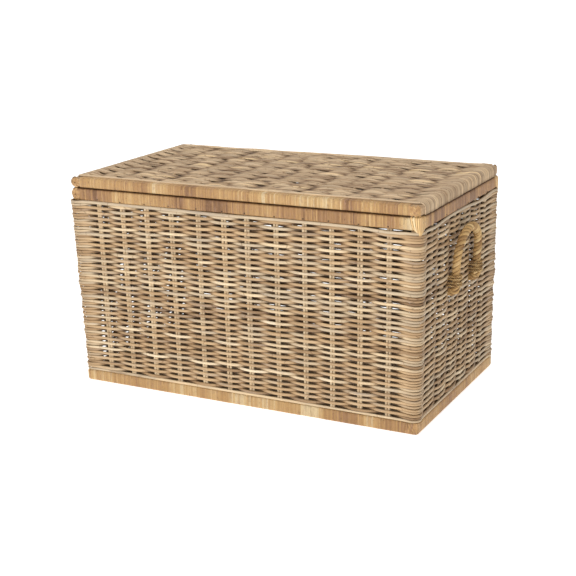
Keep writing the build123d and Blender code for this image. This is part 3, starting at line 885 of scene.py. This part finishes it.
def make_tacks(places, runs):
    """A small nail in the rim's lower edge above each pair of stakes."""
    stands = np.array([-2.0, 0.1, 0.75, 1.0]) * MM       # from the face, shank to crown
    radii = np.array([1.5, 1.5, 1.2, 0.5]) * MM
    skin = Skin()
    at = np.array([place for place, kind in places if kind == "stake"])
    at = at + rng.normal(0, 1.5 * MM, len(at))
    points, out = ring_points(at, np.full(len(at), WALL / 2), np.full(len(at), WALL_HIGH), runs)
    for point, way in zip(points, out):
        foot = point + (0, 0, 4.2 * MM + rng.normal(0, 0.6 * MM))
        line = foot + way * stands[:, None]
        skin.sweep(line, (0, 0, 1), circle(10), radii[:, None] * np.ones(2), 0.3, 1.0)
    skin.build("rim_tacks", tack_iron, "trunk", "nail_steel")


def make_rails():
    """The bound frames of the base, the rim and the lid."""
    bind_ring("base_peel", BASE_HALF_X, HALF_Y, base_low.z, base_high.z, "trunk",
              ["base_binding"], 0.64, lean=15 * MM)
    bind_ring("rim_peel", HALF_X, HALF_Y, rim_low.z, rim_high.z, "trunk",
              ["rim_binding"], 0.36, seam=rim_high.z, lean=5 * MM, pale=0.3)
    bind_ring("lid_peel", HALF_X, HALF_Y, lid_low.z, lid_high.z, "lid", ["lid_binding"],
              0.54, seam=lid_low.z,
              keep=lambda p: abs(p.x) < HALF_X - RAIL and abs(p.y) > HALF_Y - 1 * MM)
    sunk, front_crown, end_crown = 0.6 * MM, 1.5 * MM, 6.0 * MM
    plaits, tongues = Skin(), Skin()
    for face in (-1, 1):
        lid_block(plaits, face)
        for skin, low, high in ((plaits, lid_low.z, lid_high.z), (tongues, rim_low.z, rim_high.z)):
            middle = (low + high) / 2
            radius = (high - low) / 2 - 0.4 * MM
            front = (-(HALF_X - 11.8 * MM), face * (HALF_Y - sunk), middle)
            end = (-(HALF_X - sunk), face * (HALF_Y - radius - sunk), middle)
            fan_disc(skin, front, (0, face), radius, front_crown)
            fan_disc(skin, end, (-1, 0), radius, end_crown)
        corner_tongue(tongues, face)
    plaits.build("lid_corner_plaits", peel_cane, "lid", "rattan_peel")
    tongues.build("rim_corner_wraps", peel_cane, "trunk", "rattan_peel")


# ---- Lid
def lid_path(x_inner, y_rods, z_rods, down):
    """A rod's line over the top, with both of its ends bent down over the end rails."""
    turn = 10.5 * MM
    top = lid_top - LID_ROD
    edge_x = HALF_X - LID_ROD
    angles = np.linspace(math.pi / 2, 0, 6)[1:]
    bend = [(edge_x - turn + turn * math.cos(a), top - turn + turn * math.sin(a)) for a in angles]
    tail = bend + [(edge_x, (top - turn + down) / 2), (edge_x, down)]
    right = [(x, y_rods[-1], z) for x, z in tail]
    left = [(-x, y_rods[0], z) for x, z in reversed(tail)]
    middle = list(zip(x_inner, y_rods, z_rods))
    return np.array(left + middle + right)


def make_lid():
    """Bundles of thin rods over and under the ribs, across the whole of the top."""
    half_y = HALF_Y - RAIL + 3 * MM
    bundle_step = 2 * half_y / BUNDLES
    inner = HALF_X - 13 * MM
    x = np.linspace(-inner, inner, 122)
    middle = lid_top - LID_ROD - LID_SWING - 0.6 * MM
    over_rail = smooth((np.abs(x) - (HALF_X - RAIL - 14 * MM)) / (18 * MM))
    bow, sway = 60 * MM, 12.6 * MM       # a bundle's sideways bow beside an end rail
    section = circle(6)
    skins = (Skin(), Skin())
    for b in range(BUNDLES):
        y0 = -half_y + (b + 0.5) * bundle_step
        turns = x / RIB_STEP + (b % 2) + rng.normal(0, 0.09) + wander(len(x), 20, 0.10)
        wave = np.cos(math.pi * turns)
        weave_z = middle + LID_SWING * wave
        drift = wander(len(x), 16, 0.9 * MM)
        base = rng.beta(2.2, 2.2)
        for r in range(BUNDLE_RODS):
            place = r - (BUNDLE_RODS - 1) / 2
            gap = LID_GAP * (1 + LID_SPREAD * wave * (1 - over_rail)) * (1 - 0.06 * over_rail)
            y = y0 + drift + place * gap + wander(len(x), 9, 0.75 * MM) * (1 - over_rail)
            crown = -0.36 * MM * place ** 2 * np.maximum(wave, 0)
            z = weave_z + crown + wander(len(x), 11, 0.55 * MM)
            z = z * (1 - over_rail) + (lid_top - LID_ROD) * over_rail
            down = lid_low.z + rng.uniform(0.2, 1.6) * MM
            points = lid_path(x, y, np.minimum(z, lid_top - LID_ROD * 0.8), down)
            tails = (len(points) - len(x)) // 2
            over = np.concatenate([np.ones(tails), over_rail, np.ones(tails)])
            height = np.concatenate([np.ones(tails), wave, np.ones(tails)])
            reach = np.clip((np.abs(points[:, 0]) - (HALF_X - bow)) / bow, 0, 1)
            points[:, 1] -= sway * reach * (1 - reach) * (-1) ** b
            # Painted shade: the rods are dark where their bundle dips under a rib, and fully bright
            # over the rails.
            shade = 0.05 + 0.95 * smooth(np.maximum(over, height * 0.62 + 0.5))
            out = np.zeros_like(points)
            out[:, 2] = 1
            out[:tails, 0] = -2 * np.linspace(1, 0.1, tails)
            out[-tails:, 0] = 2 * np.linspace(0.1, 1, tails)
            tint = np.clip(0.32 + 0.3 * base + rng.normal(0, 0.25)
                           + wander(len(points), 10, 0.12), 0, 1)
            radius = LID_ROD * rng.uniform(0.85, 1.12)
            skins[0 if b < BUNDLES // 2 else 1].sweep(
                points, out, section, np.full((len(points), 2), radius), tint, shade)
    skins[0].build("lid_rods_front", lid_cane, "lid", "lid_rattan",
                   "lid_weave", "lid_end_wrap_left", "lid_end_wrap_right")
    skins[1].build("lid_rods_rear", lid_cane, "lid", "lid_rattan", "lid_weave")
    edges, steps = Skin(), 90
    for face in (-1, 1):
        for k in range(3):
            at = np.linspace(-HALF_X + 10 * MM, HALF_X - 10 * MM, steps)
            y = face * (HALF_Y - RAIL + 6.5 * MM - k * 3.6 * MM) + wander(steps, 9, 0.9 * MM)
            z = lid_high.z + 0.9 * MM - k * 0.7 * MM + wander(steps, 9, 0.7 * MM)
            z = np.minimum(z, lid_top - LID_ROD)
            points = np.stack([at, y, z], axis=1)
            edges.sweep(points, (0, 0, 1), section, np.full((steps, 2), EDGE_ROD),
                        np.clip(0.78 + wander(steps, 14, 0.12), 0, 1), 1.0)
    edges.build("lid_edge_rods", lid_cane, "lid", "lid_rattan")


# ---- Pieces carried over from CAD
def finish_cad():
    """Each CAD piece that still shows gets a material of its own kind."""
    kinds = (
        ("nail", nail_iron), ("screw", nail_iron), ("hinge", hinge_iron),
        ("floor_panel", board_wood), ("batten", bar_wood),
    )
    for name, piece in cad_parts.items():
        material = next((m for word, m in kinds if word in name), core_wood)
        piece.data.materials.clear()
        piece.data.materials.append(material)


# ---- Studio
def make_studio():
    """A plain pale floor and soft light from all round, stronger from the front."""
    mesh = bpy.data.meshes.new("floor")
    size = 60
    mesh.from_pydata([(-size, -size, 0), (size, -size, 0), (size, size, 0), (-size, size, 0)],
                     [], [(0, 1, 2, 3)])
    floor = bpy.data.objects.new("floor", mesh)
    bpy.context.scene.collection.objects.link(floor)
    floor.location.z = -0.4 * MM
    material, _, bsdf = shader("floor_paper", 0.9)
    bsdf.inputs["Base Color"].default_value = (0.9, 0.9, 0.9, 1)
    bsdf.inputs["Specular IOR Level"].default_value = 0.1
    bsdf.inputs["Emission Color"].default_value = (1, 1, 1, 1)
    bsdf.inputs["Emission Strength"].default_value = 0.62
    mesh.materials.append(material)
    world = bpy.data.worlds.new("studio")
    bpy.context.scene.world = world
    world.use_nodes = True
    world.node_tree.nodes["Background"].inputs["Color"].default_value = (1, 1, 1, 1)
    world.node_tree.nodes["Background"].inputs["Strength"].default_value = 0.62
    lights = (
        ("key", (0.2, -3.2, 2.0), 2.0, 72),
        ("fill", (3.0, -1.6, 1.6), 2.4, 1.5),
        ("top", (-0.4, 0.4, 3.2), 2.6, 22),
    )
    for name, place, size, power in lights:
        data = bpy.data.lights.new(name, "AREA")
        data.size = size
        data.energy = power
        lamp = bpy.data.objects.new(name, data)
        lamp.location = place
        lamp.rotation_mode = "QUATERNION"
        lamp.rotation_quaternion = (Vector((0, 0, 0.25)) - Vector(place)).to_track_quat("-Z", "Y")
        bpy.context.scene.collection.objects.link(lamp)
    bpy.context.scene.view_settings.view_transform = "Standard"


make_camera()
make_handles()
make_walls()
make_rails()
make_lid()
finish_cad()
make_studio()

bpy.context.view_layer.update()
